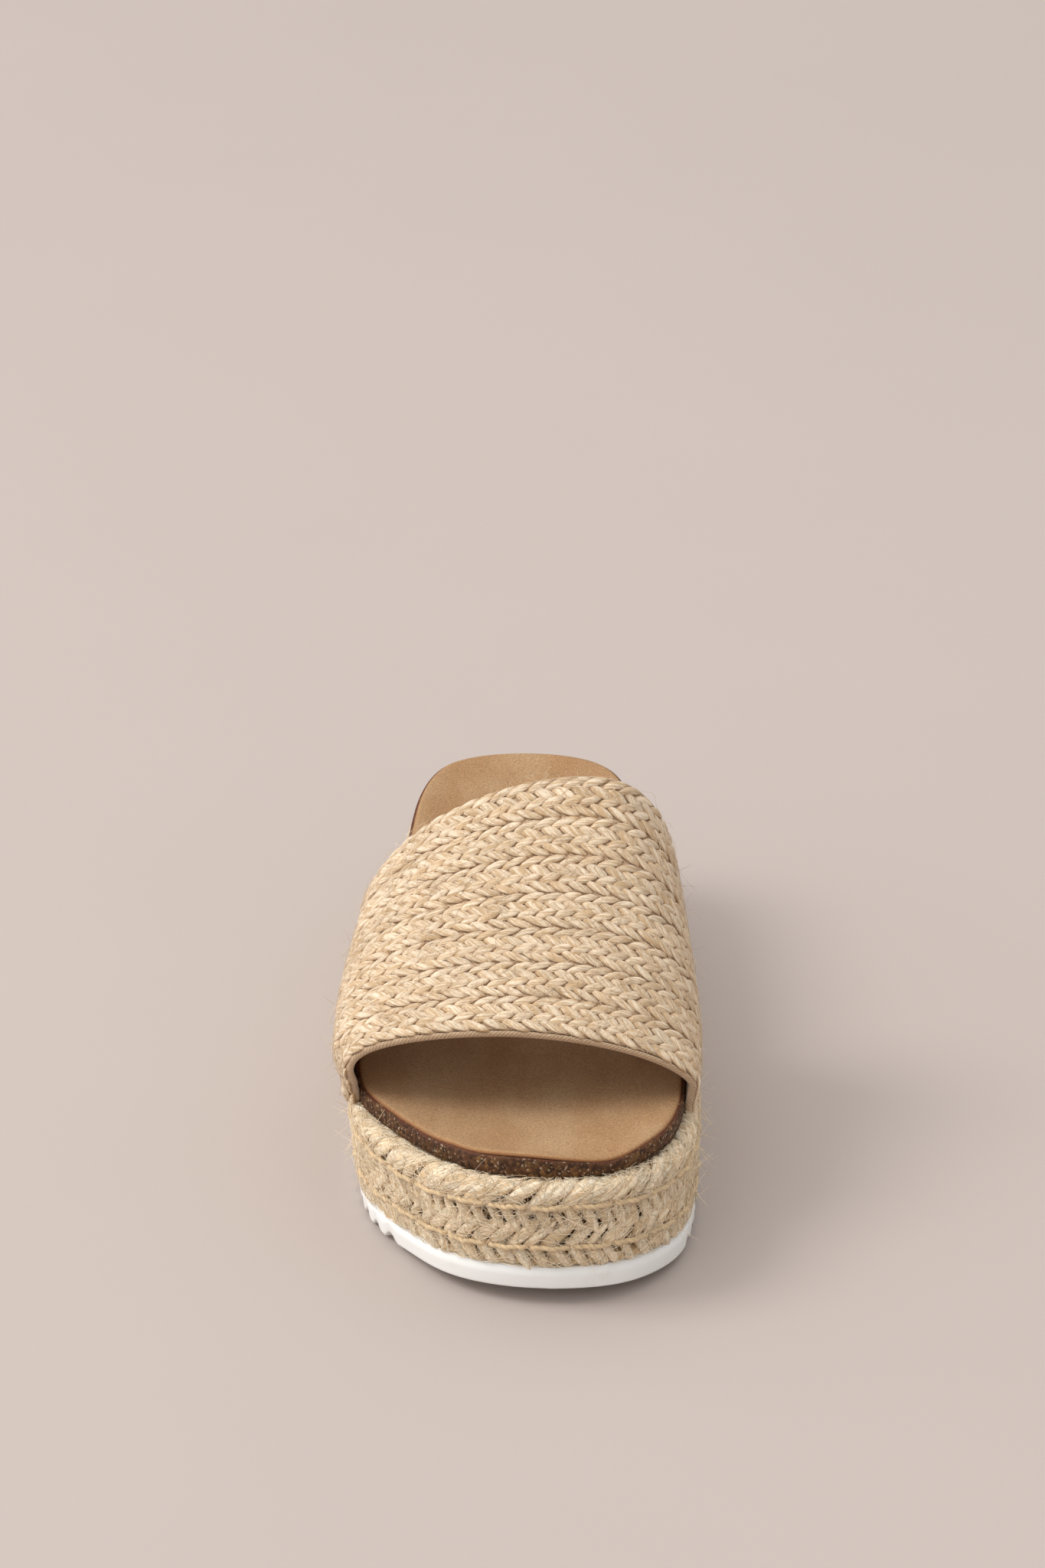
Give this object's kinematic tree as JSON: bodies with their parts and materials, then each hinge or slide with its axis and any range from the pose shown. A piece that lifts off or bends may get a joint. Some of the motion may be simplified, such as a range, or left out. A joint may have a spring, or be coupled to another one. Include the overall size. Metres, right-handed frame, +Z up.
{
  "type": "espadrille platform sandal",
  "caption": "Slip-on platform sandal for the right foot: a wide braided jute band over a cork footbed with a suede sock, on a jute-wrapped platform with a rippled white foam outsole.",
  "frame": {"origin": "centre of the bounding box in X and Y, on the floor that the sole stands on", "axes": "+X towards the big-toe (medial) side, +Y from the toe to the heel, +Z up"},
  "size_m": [0.1018, 0.2552, 0.1002],
  "materials": {
    "foam_white": "matt white foam rubber",
    "jute_wrap": "hairy braided jute over a foam block",
    "cork": "dark-brown cork board with pale flecks",
    "suede": "tan suede, short nap",
    "jute_band": "plaited jute yarn with a woven cloth lining"
  },
  "bodies": {
    "root": {"outsole": "foam_white", "midsole": "jute_wrap", "footbed": "cork", "insole": "suede", "upper": "jute_band"}
  },
  "joints": []
}
